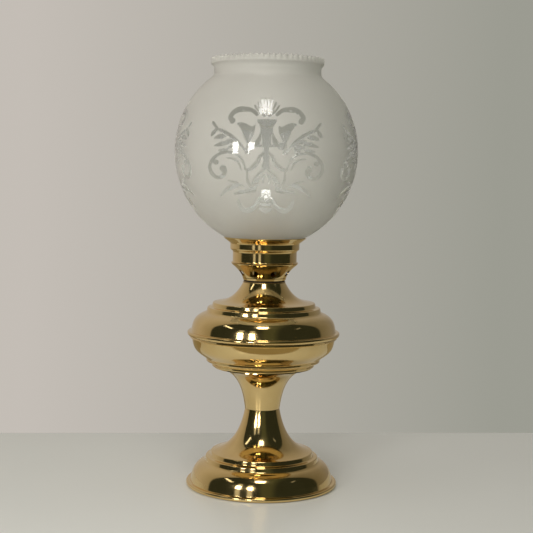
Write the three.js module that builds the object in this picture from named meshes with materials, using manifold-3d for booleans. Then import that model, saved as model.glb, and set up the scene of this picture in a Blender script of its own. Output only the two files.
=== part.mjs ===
// A brass table oil lamp with a ball globe, in millimetres, +Z up, standing on the XY plane.
// The front of the lamp faces -Y. Nearly every piece is turned or spun about the Z axis.
import * as THREE from 'three';
import { mergeVertices } from 'three/addons/utils/BufferGeometryUtils.js';
import Module from 'manifold-3d';

const wasm = await Module();
wasm.setup();

// Driving dimensions
const HEIGHT = 420;
const SHEET = 0.9; // wall of the spun brass shells
const GAP = 0.3; // clearance between pieces that touch
const SEGMENTS = 24; // facets round the large shells, which nest in each other
const FINE_SEGMENTS = 16; // facets round small turned pieces

const FOOT = { lipRadius: 75, wallRadius: 69.8, wallBase: 9, shoulderTop: 23.1 };
const WAIST = { radius: 17.2, z: 76 };
const FONT = { underside: 118.7, seam: 149.1, beadRadius: 75.3, wallRadius: 71, wallBase: 157, shoulderTop: 171.5 };
const NECK = { radius: 20.9, top: 201.6 };
const FELT = { radius: 69.8, thickness: 1.5 };
const STEP_RADII = [56.3, 51.1]; // the two stepped rings, on the foot and on both halves of the font
const STEP_FOOT = 58.6; // where the shoulder meets the first stepped ring

const COLLAR = { bore: 15.9, radius: 19.6, bottom: 192, top: NECK.top + 1.0 };
const GASKET = { radius: 20.2, bottom: COLLAR.top + GAP, thickness: 0.8 };
const BURNER = { bottom: GASKET.bottom + GASKET.thickness + GAP, threadRadius: 15.6, threadBottom: 195 };
const CONE = { bottom: 206.6, ridgeRadius: 32.9, ridge: 221.1 };
const GALLERY = { waistRadius: 31.6, bandRadius: 34.2, rimRadius: 40.7, rim: 245.4, sheet: 0.8 };
const VENTS = { count: 8, radius: 3.6, distance: 24.3, z: 211.3, tiltDown: 0.62 };

const GLOBE = { radius: 89.5, depth: 93.5, centre: 330, wall: 2.4, edgeRadius: 37.9, bottom: 244.6 };
const GLOBE_NECK = { radius: 52.2, lipRadius: 55.9, lipBottom: 413.6 };

const ROD = { radius: 4.8, bottom: 2.2, top: 115.6 };
const NUT = { acrossCorners: 17.2, bottom: 2.6, top: 6.9 };
const WASHER = { radius: 12, bottom: NUT.top + GAP, top: 8.5 };
const SLEEVE = { radius: 15.7, bottom: 70, top: 82 }; // joins the stem shells inside the waist
const WEIGHT = { radius: 54, bottom: 2.2, discTop: 16, hubRadius: 30, hubTop: 41, recess: 8.8 };

const TUBE = { width: 25.6, depth: 5.4, wall: 0.7, bottom: 197, top: 247 };
const WICK = { width: 23, depth: 2.4, bottom: 136.5, top: 250 };
const SHAFT = { x: 4.9, z: 217.4, radius: 1.1, front: -10.4, rear: 46 };
const BUSH = { radius: 2.2, front: 22, rear: 35.5 }; // carries the shaft through the cone
const WHEEL = { radius: 3.4, teeth: 10, thickness: 1.6, offset: 8 };
const KNOB = { radius: 7, length: 4, ridges: 20 };
const SCREEN = { bottom: 221.9, thickness: 0.8, radius: 30.2, holes: 8, holeRadius: 2.4, holeDistance: 25.4 };
const SPREADER = { radius: 21, skirtTop: 238, top: 254, wall: 0.7, slotLength: 29, slotWidth: 7.6 };

// Materials
const finish = (color, roughness, metalness) =>
  new THREE.MeshStandardMaterial({ color, roughness, metalness });
const polishedBrass = () => finish(0xc79b45, 0.14, 1);
const dullBrass = () => finish(0xa98546, 0.42, 1);
const steel = () => finish(0x8d8f90, 0.38, 1);

// An outline is a list of (radius, height) points. These three calls add a straight stretch,
// a curve with one control point and a curve with two.
function startAt(r, z) {
  return [new THREE.Vector2(r, z)];
}

function lineTo(points, r, z) {
  points.push(new THREE.Vector2(r, z));
}

function addCurve(points, curve, steps) {
  points.push(...curve.getPoints(steps).slice(1));
}

function bendTo(points, controlR, controlZ, r, z, steps = 2) {
  const control = new THREE.Vector2(controlR, controlZ);
  const end = new THREE.Vector2(r, z);
  addCurve(points, new THREE.QuadraticBezierCurve(points.at(-1), control, end), steps);
}

function sweepTo(points, firstControl, secondControl, end, steps = 5) {
  const [a, b, c] = [firstControl, secondControl, end].map(([r, z]) => new THREE.Vector2(r, z));
  addCurve(points, new THREE.CubicBezierCurve(points.at(-1), a, b, c), steps);
}

// Revolves an outline about Z. Outlines run up the outside and down the inside.
function turned(points, segments = SEGMENTS) {
  const geometry = new THREE.LatheGeometry(points, segments);
  geometry.rotateX(Math.PI / 2);
  return geometry;
}

function closed(points) {
  return [...points, points[0].clone()];
}

// Gives an outer outline a wall on its inner side and closes the loop.
function sheetOutline(outer, wall) {
  const inner = outer.map((point, i) => {
    const before = outer[Math.max(i - 1, 0)];
    const after = outer[Math.min(i + 1, outer.length - 1)];
    const into = i > 0 ? point.clone().sub(before).normalize() : after.clone().sub(point).normalize();
    const out = i < outer.length - 1 ? after.clone().sub(point).normalize() : into;
    const normal = new THREE.Vector2(-into.y - out.y, into.x + out.x);
    const mitre = 2 * wall / Math.max(normal.lengthSq(), 1);
    return point.clone().addScaledVector(normal, mitre);
  });
  return closed([...outer, ...inner.reverse()]);
}

function ring(innerRadius, outerRadius, bottom, top, segments = FINE_SEGMENTS) {
  const points = startAt(innerRadius, bottom);
  lineTo(points, outerRadius, bottom);
  lineTo(points, outerRadius, top);
  lineTo(points, innerRadius, top);
  return turned(closed(points), segments);
}

// Solid cuts
function toSolid(geometry) {
  const bare = geometry.clone();
  bare.deleteAttribute('normal');
  bare.deleteAttribute('uv');
  const merged = mergeVertices(bare, 1e-4);
  const mesh = new wasm.Mesh({
    numProp: 3,
    vertProperties: Float32Array.from(merged.attributes.position.array),
    triVerts: Uint32Array.from(merged.index.array),
  });
  mesh.merge();
  return new wasm.Manifold(mesh);
}

function cut(geometry, cutters) {
  const solid = cutters.reduce((left, cutter) => left.subtract(toSolid(cutter)), toSolid(geometry));
  const mesh = solid.getMesh();
  const result = new THREE.BufferGeometry();
  result.setAttribute('position', new THREE.BufferAttribute(mesh.vertProperties, 3));
  result.setIndex(new THREE.BufferAttribute(mesh.triVerts, 1));
  result.computeVertexNormals();
  return result;
}

function block(width, depth, bottom, top, x = 0, y = 0) {
  const geometry = new THREE.BoxGeometry(width, depth, top - bottom);
  geometry.translate(x, y, (bottom + top) / 2);
  return geometry;
}

function upright(radius, bottom, top, x, y, segments = 12) {
  const geometry = new THREE.CylinderGeometry(radius, radius, top - bottom, segments);
  geometry.rotateX(Math.PI / 2);
  geometry.translate(x, y, (bottom + top) / 2);
  return geometry;
}

// The lamp and its pieces
const lamp = new THREE.Group();

function addPiece(name, geometry, material, parent = lamp) {
  const mesh = new THREE.Mesh(geometry, material);
  mesh.name = name;
  parent.add(mesh);
  return mesh;
}

// A stepped ring: a fillet up to a wall that leans in a little, then a rounded top edge.
function stepInwards(points, radius, bottom) {
  bendTo(points, radius + 0.3, bottom, radius + 0.2, bottom + 0.9, 1);
  lineTo(points, radius - 0.4, bottom + 3.2);
  bendTo(points, radius - 0.6, bottom + 4.2, radius - 1.6, bottom + 4.4, 2);
}

function stepOutwards(points, radius, bottom) {
  bendTo(points, radius, bottom, radius, bottom + 1.0, 1);
  lineTo(points, radius, bottom + 2.6);
}

// The shoulder that the foot and the top of the font share: a rounded wall and two stepped rings.
function shoulder(points, firstControl, secondControl, top) {
  sweepTo(points, firstControl, secondControl, [STEP_FOOT, top], 5);
  stepInwards(points, STEP_RADII[0], top + 1.1);
  stepInwards(points, STEP_RADII[1], top + 5.9);
}

function footShell() {
  const lip = { r: 72.8, z: 2.5, radius: 2.2 };
  const points = startAt(lip.r - 1.2, GAP + 0.4);
  lineTo(points, lip.r, GAP);
  bendTo(points, FOOT.lipRadius, GAP, FOOT.lipRadius, lip.z, 2);
  bendTo(points, FOOT.lipRadius, lip.z + lip.radius, lip.r, lip.z + lip.radius);
  bendTo(points, FOOT.wallRadius + 0.8, 4.8, FOOT.wallRadius + 0.4, 6.6, 1);
  lineTo(points, FOOT.wallRadius, FOOT.wallBase);
  shoulder(points, [68.3, 15.5], [65.6, 20.2], FOOT.shoulderTop);
  sweepTo(points, [31, 37.2], [21.6, 52], [WAIST.radius, WAIST.z], 9);
  return turned(sheetOutline(points, SHEET));
}

function upperStem() {
  const points = startAt(WAIST.radius, WAIST.z + GAP);
  sweepTo(points, [19.3, 91.5], [23.1, 114.8], [48.4, FONT.underside - GAP - SHEET - 0.1], 9);
  return turned(sheetOutline(points, SHEET));
}

function fontLowerBowl() {
  const flange = { radius: 72.8, bottom: 147.1, top: FONT.seam - GAP };
  const points = startAt(0, FONT.underside);
  lineTo(points, STEP_RADII[1] - 1.4, FONT.underside);
  stepOutwards(points, STEP_RADII[1] - 0.4, FONT.underside);
  lineTo(points, STEP_RADII[1] + 2, 122.6);
  lineTo(points, STEP_RADII[0] - 1.2, 123.4);
  stepOutwards(points, STEP_RADII[0], 123.6);
  lineTo(points, 58.3, 128);
  sweepTo(points, [67.2, 134], [68.9, 135.4], [70.8, 146]);
  lineTo(points, flange.radius, flange.bottom);
  lineTo(points, flange.radius, flange.top);
  const walled = sheetOutline(points, SHEET);
  walled.pop();
  return turned(walled);
}

function fontUpperShell() {
  const bead = { r: 73.2, z: 151.4, radius: 2.1 };
  const points = startAt(70.4, FONT.seam);
  lineTo(points, bead.r - 0.4, FONT.seam);
  bendTo(points, FONT.beadRadius, FONT.seam + 0.2, FONT.beadRadius, bead.z);
  bendTo(points, FONT.beadRadius, bead.z + bead.radius, bead.r, bead.z + bead.radius);
  bendTo(points, FONT.wallRadius + 0.2, 153.8, FONT.wallRadius, FONT.wallBase);
  shoulder(points, [69.8, 162.6], [68.4, 167.8], FONT.shoulderTop);
  sweepTo(points, [40.7, 183.3], [30.2, 183.4], [NECK.radius, NECK.top], 9);
  return turned(sheetOutline(points, SHEET));
}

function fontCollar() {
  const flange = 0.7;
  const points = startAt(COLLAR.bore, COLLAR.bottom);
  lineTo(points, COLLAR.radius, COLLAR.bottom);
  lineTo(points, COLLAR.radius, COLLAR.top - flange);
  lineTo(points, NECK.radius, COLLAR.top - flange);
  lineTo(points, NECK.radius, COLLAR.top);
  lineTo(points, COLLAR.bore, COLLAR.top);
  return turned(closed(points));
}

function fontBoss() {
  const boss = { radius: 11, bottom: 104, flangeRadius: 18, flange: 2.4, boreTop: ROD.top + GAP };
  const top = FONT.underside - GAP;
  const points = startAt(0, boss.boreTop);
  lineTo(points, ROD.radius + GAP, boss.boreTop);
  lineTo(points, ROD.radius + GAP, boss.bottom);
  lineTo(points, boss.radius, boss.bottom);
  lineTo(points, boss.radius, top - boss.flange);
  lineTo(points, boss.flangeRadius, top - boss.flange);
  lineTo(points, boss.flangeRadius, top);
  lineTo(points, 0, top);
  return turned(points, FINE_SEGMENTS);
}

function footWeight() {
  const bore = ROD.radius + GAP;
  const recessRadius = 16;
  const points = startAt(recessRadius, WEIGHT.bottom);
  lineTo(points, WEIGHT.radius, WEIGHT.bottom);
  lineTo(points, WEIGHT.radius, WEIGHT.discTop - 4);
  lineTo(points, WEIGHT.radius - 5, WEIGHT.discTop);
  lineTo(points, WEIGHT.hubRadius, WEIGHT.discTop);
  lineTo(points, WEIGHT.hubRadius - 4, WEIGHT.hubTop);
  lineTo(points, bore, WEIGHT.hubTop);
  lineTo(points, bore, WEIGHT.recess);
  lineTo(points, recessRadius, WEIGHT.recess);
  return turned(closed(points), FINE_SEGMENTS);
}

function hexNut(bottom, top) {
  const outline = new THREE.Shape();
  for (let side = 0; side < 6; side += 1) {
    const angle = side * Math.PI / 3;
    const corner = [0.5 * NUT.acrossCorners * Math.cos(angle), 0.5 * NUT.acrossCorners * Math.sin(angle)];
    if (side === 0) {
      outline.moveTo(...corner);
    } else {
      outline.lineTo(...corner);
    }
  }
  outline.holes.push(new THREE.Path().absarc(0, 0, ROD.radius + GAP, 0, 2 * Math.PI, true));
  const settings = { depth: top - bottom, bevelEnabled: false, curveSegments: 8 };
  const geometry = new THREE.ExtrudeGeometry(outline, settings);
  geometry.translate(0, 0, bottom);
  return geometry;
}

// The threaded ring that the burner stands on. A cup in its middle holds the wick tube upright.
function burnerBase() {
  const inner = BURNER.threadRadius - 2;
  const floor = BURNER.bottom + 1;
  const cup = { radius: inner + 1, top: SHAFT.z - WHEEL.radius - 0.5, wall: 0.9 };
  const rim = { bottomRadius: 21.1, topRadius: 21.6, wall: 1 };
  const top = CONE.bottom - GAP;
  const points = startAt(0, cup.top - cup.wall);
  lineTo(points, inner, cup.top - cup.wall);
  lineTo(points, inner, BURNER.threadBottom);
  lineTo(points, BURNER.threadRadius, BURNER.threadBottom);
  lineTo(points, BURNER.threadRadius, BURNER.bottom);
  lineTo(points, rim.bottomRadius, BURNER.bottom);
  lineTo(points, rim.topRadius, top);
  lineTo(points, rim.topRadius - rim.wall, top);
  lineTo(points, rim.bottomRadius - rim.wall, floor);
  lineTo(points, cup.radius, floor);
  lineTo(points, cup.radius, cup.top);
  lineTo(points, 0, cup.top);
  const tubeHole = block(TUBE.depth + 2 * GAP, TUBE.width + 2 * GAP, cup.top - 2, cup.top + 1);
  return cut(turned(points), [tubeHole]);
}

// The flaring cone under the gallery, with its round draught holes and a hole for the shaft's bush.
function ventCone() {
  const points = startAt(21.7, CONE.bottom);
  bendTo(points, 23.6, 212.4, 30.8, 218.2, 4);
  bendTo(points, 32.2, 219.2, CONE.ridgeRadius, CONE.ridge - GAP - 0.4);
  lineTo(points, CONE.ridgeRadius, CONE.ridge - GAP);
  const cone = turned(sheetOutline(points, GALLERY.sheet));
  const cutters = [];
  for (let i = 0; i < VENTS.count; i += 1) {
    const drill = new THREE.CylinderGeometry(VENTS.radius, VENTS.radius, 9, 12);
    drill.rotateX(Math.PI / 2);
    drill.rotateY(Math.PI / 2 + VENTS.tiltDown);
    drill.translate(VENTS.distance, 0, VENTS.z);
    drill.rotateZ((i + 0.5) * 2 * Math.PI / VENTS.count);
    cutters.push(drill);
  }
  const bushHoleLength = BUSH.rear - BUSH.front + 6;
  const bushHole = new THREE.CylinderGeometry(BUSH.radius + GAP, BUSH.radius + GAP, bushHoleLength, 12);
  bushHole.translate(SHAFT.x, (BUSH.front + BUSH.rear) / 2, SHAFT.z);
  cutters.push(bushHole);
  return cut(cone, cutters);
}

// The cup that holds the globe: a ridge, an upright band, a wider band above it and a flared rim.
function gallery() {
  const points = startAt(CONE.ridgeRadius, CONE.ridge);
  lineTo(points, CONE.ridgeRadius, CONE.ridge + 0.4);
  bendTo(points, GALLERY.waistRadius, 221.9, GALLERY.waistRadius, 222.8);
  lineTo(points, GALLERY.waistRadius, 231.2);
  bendTo(points, GALLERY.waistRadius, 232.8, 33.2, 233.6);
  bendTo(points, GALLERY.bandRadius, 234.2, GALLERY.bandRadius, 235.2, 1);
  lineTo(points, GALLERY.bandRadius, 239.8);
  bendTo(points, GALLERY.bandRadius + 0.1, 240.7, 35.6, 241.4, 2);
  lineTo(points, GALLERY.rimRadius - 0.8, 244.7);
  lineTo(points, GALLERY.rimRadius, GALLERY.rim);
  return turned(sheetOutline(points, GALLERY.sheet));
}

// The perforated plate across the burner, with a slot for the wick tube.
function airScreen() {
  const plate = upright(SCREEN.radius, SCREEN.bottom, SCREEN.bottom + SCREEN.thickness, 0, 0, SEGMENTS);
  const [low, high] = [SCREEN.bottom - 1, SCREEN.bottom + SCREEN.thickness + 1];
  const cutters = [block(TUBE.depth + 2 * GAP, TUBE.width + 2 * GAP, low, high)];
  for (let i = 0; i < SCREEN.holes; i += 1) {
    const angle = (i + 0.5) * 2 * Math.PI / SCREEN.holes;
    const [x, y] = [SCREEN.holeDistance * Math.cos(angle), SCREEN.holeDistance * Math.sin(angle)];
    cutters.push(upright(SCREEN.holeRadius, low, high, x, y, 8));
  }
  return cut(plate, cutters);
}

// The flat tube round the wick, open at both ends, with a slot for each toothed wheel.
function wickTube() {
  const shell = block(TUBE.depth, TUBE.width, TUBE.bottom, TUBE.top);
  const bore = block(TUBE.depth - 2 * TUBE.wall, TUBE.width - 2 * TUBE.wall, TUBE.bottom - 1, TUBE.top + 1);
  const [low, high] = [SHAFT.z - WHEEL.radius - GAP, SHAFT.z + WHEEL.radius + GAP];
  const slots = [-1, 1].map((side) =>
    block(3, WHEEL.thickness + 2 * GAP, low, high, TUBE.depth / 2, side * WHEEL.offset));
  return cut(shell, [bore, ...slots]);
}

// The slotted dome that shapes the flame. It stands on the air screen.
function flameSpreader() {
  const bottom = SCREEN.bottom + SCREEN.thickness + GAP;
  const outside = { radius: SPREADER.radius, top: SPREADER.top };
  const inside = { radius: SPREADER.radius - SPREADER.wall, top: SPREADER.top - SPREADER.wall };
  const bulge = SPREADER.skirtTop + 0.55 * (SPREADER.top - SPREADER.skirtTop);
  const crown = 4;
  const points = startAt(0, inside.top);
  lineTo(points, crown, inside.top);
  sweepTo(points, [12.6, inside.top], [inside.radius, bulge - 0.5], [inside.radius, SPREADER.skirtTop]);
  lineTo(points, inside.radius, bottom);
  lineTo(points, outside.radius, bottom);
  lineTo(points, outside.radius, SPREADER.skirtTop);
  sweepTo(points, [outside.radius, bulge], [13, outside.top], [crown, outside.top]);
  lineTo(points, 0, outside.top);
  const slot = block(SPREADER.slotWidth, SPREADER.slotLength, SPREADER.skirtTop, SPREADER.top + 1);
  return cut(turned(points), [slot]);
}

// The shaft and what is on it lie along Y, at SHAFT.x and SHAFT.z.
function alongShaft(geometry) {
  geometry.translate(SHAFT.x, 0, SHAFT.z);
  return geometry;
}

function wickShaft() {
  const length = SHAFT.rear - SHAFT.front;
  const geometry = new THREE.CylinderGeometry(SHAFT.radius, SHAFT.radius, length, 10);
  geometry.translate(0, (SHAFT.front + SHAFT.rear) / 2, 0);
  return alongShaft(geometry);
}

// A disc with a toothed or ridged edge and a round bore, its axis along Y and its front face at front.
function toothedDisc(outerRadius, rootRadius, teeth, bore, front, thickness) {
  const outline = new THREE.Shape();
  for (let i = 0; i < 2 * teeth; i += 1) {
    const angle = i * Math.PI / teeth;
    const r = i % 2 === 0 ? outerRadius : rootRadius;
    const corner = [r * Math.cos(angle), r * Math.sin(angle)];
    if (i === 0) {
      outline.moveTo(...corner);
    } else {
      outline.lineTo(...corner);
    }
  }
  outline.holes.push(new THREE.Path().absarc(0, 0, bore, 0, 2 * Math.PI, true));
  const settings = { depth: thickness, bevelEnabled: false, curveSegments: 5 };
  const geometry = new THREE.ExtrudeGeometry(outline, settings);
  geometry.rotateX(-Math.PI / 2);
  geometry.translate(0, front, 0);
  return alongShaft(geometry);
}

function shaftBush() {
  const inner = SHAFT.radius + GAP;
  const points = startAt(inner, BUSH.front);
  lineTo(points, BUSH.radius, BUSH.front);
  lineTo(points, BUSH.radius, BUSH.rear);
  lineTo(points, inner, BUSH.rear);
  return alongShaft(new THREE.LatheGeometry(closed(points), 12));
}

// The ball globe. It is a little deeper below its middle than above, and its ground lower edge
// stands in the gallery's flare. A neck and a flared rim are at its top.
function globe() {
  const arc = (depth, from, to) =>
    new THREE.EllipseCurve(0, GLOBE.centre, GLOBE.radius, depth, from, to);
  const neckFoot = 54.2; // the radius where the ball turns up into the neck
  const [startAngle, endAngle] = [-Math.acos(GLOBE.edgeRadius / GLOBE.radius), Math.acos(neckFoot / GLOBE.radius)];
  const points = startAt(GLOBE.edgeRadius, GLOBE.bottom);
  lineTo(points, GLOBE.edgeRadius, GLOBE.centre + GLOBE.depth * Math.sin(startAngle));
  addCurve(points, arc(GLOBE.depth, startAngle, 0), 7);
  addCurve(points, arc(GLOBE.radius, 0, endAngle), 6);
  bendTo(points, GLOBE_NECK.radius, points.at(-1).y + 1.8, GLOBE_NECK.radius, 406);
  lineTo(points, GLOBE_NECK.radius, 409.4);
  bendTo(points, GLOBE_NECK.radius + 0.3, 412.6, GLOBE_NECK.lipRadius - 0.5, GLOBE_NECK.lipBottom);
  lineTo(points, GLOBE_NECK.lipRadius, GLOBE_NECK.lipBottom + 1.2);
  lineTo(points, GLOBE_NECK.lipRadius - 1.3, HEIGHT);
  return turned(sheetOutline(points, GLOBE.wall));
}

// Foot, stem and font
addPiece('base_felt', ring(ROD.radius + 2, FELT.radius, 0, FELT.thickness, SEGMENTS),
  finish(0x23352b, 0.95, 0));
addPiece('foot_shell', footShell(), polishedBrass());
addPiece('foot_weight', footWeight(), finish(0x2f3031, 0.7, 0.6));
addPiece('rod_washer', ring(ROD.radius + GAP, WASHER.radius, WASHER.bottom, WASHER.top), steel());
addPiece('rod_nut', hexNut(NUT.bottom, NUT.top), steel());
addPiece('tie_rod', upright(ROD.radius, ROD.bottom, ROD.top, 0, 0, FINE_SEGMENTS), steel());
addPiece('stem_sleeve', ring(ROD.radius + GAP, SLEEVE.radius, SLEEVE.bottom, SLEEVE.top), dullBrass());
addPiece('upper_stem', upperStem(), polishedBrass());
addPiece('font_boss', fontBoss(), dullBrass());
addPiece('font_lower_bowl', fontLowerBowl(), polishedBrass());
addPiece('font_upper_shell', fontUpperShell(), polishedBrass());
addPiece('font_collar', fontCollar(), dullBrass());
addPiece('collar_gasket', ring(COLLAR.bore + GAP, GASKET.radius, GASKET.bottom,
  GASKET.bottom + GASKET.thickness, SEGMENTS), finish(0x2a211a, 0.9, 0));

// Burner
const burner = new THREE.Group();
lamp.add(burner);
addPiece('burner_base', burnerBase(), polishedBrass(), burner);
addPiece('vent_cone', ventCone(), polishedBrass(), burner);
addPiece('gallery', gallery(), polishedBrass(), burner);
addPiece('air_screen', airScreen(), dullBrass(), burner);
addPiece('wick_tube', wickTube(), dullBrass(), burner);
addPiece('shaft_bush', shaftBush(), dullBrass(), burner);
addPiece('flame_spreader', flameSpreader(), dullBrass(), burner);

// Wick winder
const winder = new THREE.Group();
burner.add(winder);
const wheelAt = (y) => toothedDisc(WHEEL.radius, WHEEL.radius - 0.9, WHEEL.teeth, SHAFT.radius + GAP,
  y - WHEEL.thickness / 2, WHEEL.thickness);
addPiece('wick_shaft', wickShaft(), steel(), winder);
addPiece('wick_wheel_front', wheelAt(-WHEEL.offset), dullBrass(), winder);
addPiece('wick_wheel_rear', wheelAt(WHEEL.offset), dullBrass(), winder);
addPiece('wick_knob', toothedDisc(KNOB.radius, KNOB.radius - 0.5, KNOB.ridges, SHAFT.radius + GAP,
  SHAFT.rear - KNOB.length, KNOB.length), polishedBrass(), winder);
addPiece('wick', block(WICK.depth, WICK.width, WICK.bottom, WICK.top), finish(0xd9d2bf, 0.95, 0), burner);

addPiece('globe', globe(), finish(0xe9e8e2, 0.55, 0));

export default lamp;
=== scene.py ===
# The looks of a brass table oil lamp with a frosted ball globe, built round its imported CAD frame.
# Outlines and sizes are in millimetres, as in the CAD part, and become metres as meshes are made.
import math

import bmesh
import bpy
import numpy as np
from mathutils import Matrix, Vector


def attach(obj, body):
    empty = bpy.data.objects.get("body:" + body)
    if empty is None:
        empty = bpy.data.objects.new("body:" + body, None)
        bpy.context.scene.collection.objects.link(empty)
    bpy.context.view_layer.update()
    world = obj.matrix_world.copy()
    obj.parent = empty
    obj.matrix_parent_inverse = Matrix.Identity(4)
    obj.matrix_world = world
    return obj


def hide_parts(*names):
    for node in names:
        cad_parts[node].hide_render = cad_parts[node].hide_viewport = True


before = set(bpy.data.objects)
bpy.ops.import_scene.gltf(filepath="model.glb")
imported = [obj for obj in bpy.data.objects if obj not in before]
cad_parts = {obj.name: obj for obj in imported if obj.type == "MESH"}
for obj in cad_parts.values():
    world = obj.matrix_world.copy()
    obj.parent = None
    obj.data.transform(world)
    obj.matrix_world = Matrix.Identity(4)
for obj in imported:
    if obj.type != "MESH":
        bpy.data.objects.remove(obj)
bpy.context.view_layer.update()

# Driving dimensions, in millimetres
MM = 0.001
LIP_TOP = 419.99
SHEET = 0.9  # wall of the spun brass shells
GAP = 0.3  # clearance between pieces that touch
COLUMNS = 192  # facets round a large turned piece
EDGE = 0.15  # how near a straight stretch's extra points are to its ends

FOOT = {"lip": 75, "wall": 69.8, "wall_base": 9, "shoulder_top": 23.1}
WAIST = {"radius": 17.2, "z": 76}
FONT = {
    "underside": 118.7, "seam": 149.1, "bead": 75.3, "wall": 71, "wall_base": 157, "shoulder_top": 171.5,
}
NECK = {"radius": 20.9, "top": 201.6}
STEPS = (56.3, 51.1)  # radii of the two stepped rings
STEP_FOOT = 58.6  # radius where a shoulder meets the first ring
PAD = {"hole": 6.8, "radius": 69.8, "thickness": 1.5}  # the felt under the foot
ROD = {"radius": 4.8, "hole": 5.1, "bottom": 2.2, "top": 115.6}  # hole is the bore of what it passes through
NUT = {"across_corners": 17.2, "across_flats": 14.9, "bottom": 2.6, "top": 6.9}
WASHER = {"radius": 12, "bottom": 7.2, "top": 8.5}
SLEEVE = {"radius": 15.7, "bottom": 70, "top": 82}
COLLAR = {"bore": 15.9, "radius": 19.6, "bottom": 192, "top": 202.6}
GASKET = {"hole": 16.2, "radius": 20.2, "bottom": 202.9, "top": 203.7}
SPIGOT = {"bore": 13.6, "radius": 15.6, "bottom": 195, "top": 204}
CUP = {"radius": 14.6, "top": 213.5}  # inside the burner, round the foot of the wick tube
CONE = {"bottom": 206.6, "ridge_radius": 32.9, "ridge": 221.1}
GALLERY = {"waist": 31.6, "band": 34.2, "rim_radius": 40.7, "rim": 245.4, "sheet": 0.8}
VENTS = {"count": 8, "radius": 3.6, "distance": 24.3, "z": 211.3, "tilt": 0.62}
GLOBE = {"radius": 89.5, "depth": 93.5, "centre": 330, "wall": 2.4, "edge": 37.9, "bottom": 244.6}
LIP = {"neck": 52.2, "bottom": 409.4, "wave": 0.8, "dip": 1.4, "crimps": 60}
TUBE = {"width": 25.6, "depth": 5.4, "wall": 0.7, "bottom": 197, "top": 247}
TUBE_HOLE = {"half_width": 13.1, "half_depth": 3.0}  # in the cup and the air screen
WICK = {"width": 23, "depth": 2.4, "bottom": 136.5, "top": 250}
SHAFT = {"x": 4.9, "z": 217.4, "radius": 1.1, "front": -10.4, "rear": 46}
BUSH = {"bore": 1.4, "radius": 2.2, "front": 22, "rear": 35.5}
WHEEL = {"radius": 3.4, "root": 2.5, "teeth": 10, "thickness": 1.6, "offset": 8}
KNOB = {"radius": 7, "front": 42, "ridges": 40}
SCREEN = {"bottom": 221.9, "top": 222.7, "radius": 30.2, "holes": 8, "distance": 25.4, "hole": 2.4}
SPREADER = {"radius": 21, "bottom": 223.0, "skirt_top": 238, "top": 254, "wall": 0.7}

# The surroundings, as radiance. Directions run from -1 to 1.
ROOM = {
    "turn": 5.4, "edge": 0.13, "horizon": -0.16,
    "dark": (0.026, 0.030, 0.021), "lighter": (0.070, 0.078, 0.046),
    "wall_near": (0.32, 0.29, 0.23), "wall_far": (0.46, 0.42, 0.37), "shade_right": (0.50, 0.51, 0.51),
    "floor": (0.27, 0.225, 0.13),
    "glass_low": (0.86, 0.85, 0.78), "glass_level": (0.40, 0.39, 0.355), "glass_high": (0.34, 0.34, 0.31),
    # Painted wall shade for the backdrop that the camera sees: lighter on the left, darker on the right.
    "backdrop_lit_left": (0.55, 0.51, 0.465), "backdrop_shaded_right": (0.33, 0.33, 0.285),
}
TABLE = {"low": (-1500, -215, -30), "high": (1500, 225, 0), "turn": 4.2}
CAMERA = {
    "place": (0, -1.1317, 0.304), "heading": -0.098, "pitch": -4.39, "roll": 0.95,
    "lens": 77.67, "sensor": 36,
}


# Outlines
class Outline:
    """A path of (radius, height) points. detail sets how finely its curves are divided."""

    def __init__(self, radius, height, detail):
        self.points = [(radius, height)]
        self.detail = detail

    def line(self, radius, height):
        """A straight stretch. Fine outlines get a point near each end, which keeps its shading straight."""
        start, end = Vector(self.points[-1]), Vector((radius, height))
        length = (end - start).length
        if self.detail > 1 and length > 4 * EDGE:
            self.points.append(tuple(start.lerp(end, EDGE / length)))
            self.points.append(tuple(end.lerp(start, EDGE / length)))
        self.points.append((radius, height))

    def bend(self, control, end):
        """A curve with one control point."""
        start = self.points[-1]
        steps = 2 * self.detail
        for i in range(1, steps + 1):
            t = i / steps
            weights = ((1 - t) ** 2, 2 * t * (1 - t), t * t)
            self.points.append(blend_points((start, control, end), weights))

    def sweep(self, first, second, end):
        """A curve with two control points."""
        start = self.points[-1]
        steps = 6 * self.detail
        for i in range(1, steps + 1):
            t = i / steps
            weights = ((1 - t) ** 3, 3 * t * (1 - t) ** 2, 3 * t * t * (1 - t), t ** 3)
            self.points.append(blend_points((start, first, second, end), weights))

    def arc(self, depth, start_angle, end_angle, steps):
        """Part of the globe's ball, which is deeper below its middle than above."""
        for i in range(1, steps + 1):
            angle = start_angle + (end_angle - start_angle) * i / steps
            height = GLOBE["centre"] + depth * math.sin(angle)
            self.points.append((GLOBE["radius"] * math.cos(angle), height))

    def step_inwards(self, radius, bottom):
        """A stepped ring: a small fillet, a wall that leans in a little, and a rounded top edge."""
        self.bend((radius + 0.3, bottom), (radius + 0.2, bottom + 0.7))
        self.line(radius - 0.4, bottom + 3.2)
        self.bend((radius - 0.6, bottom + 4.3), (radius - 1.6, bottom + 4.4))

    def step_outwards(self, radius, bottom):
        """A plainer ring, seen from below."""
        self.bend((radius, bottom), (radius, bottom + 1))
        self.line(radius, bottom + 2.6)

    def shoulder(self, first, second, top):
        """The rounded wall and two stepped rings that the foot and the top of the font share."""
        self.sweep(first, second, (STEP_FOOT, top))
        self.step_inwards(STEPS[0], top + 1.1)
        self.step_inwards(STEPS[1], top + 5.9)


def blend_points(points, weights):
    """The weighted mean of some (radius, height) points."""
    return tuple(sum(w * p[axis] for p, w in zip(points, weights)) for axis in (0, 1))


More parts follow.
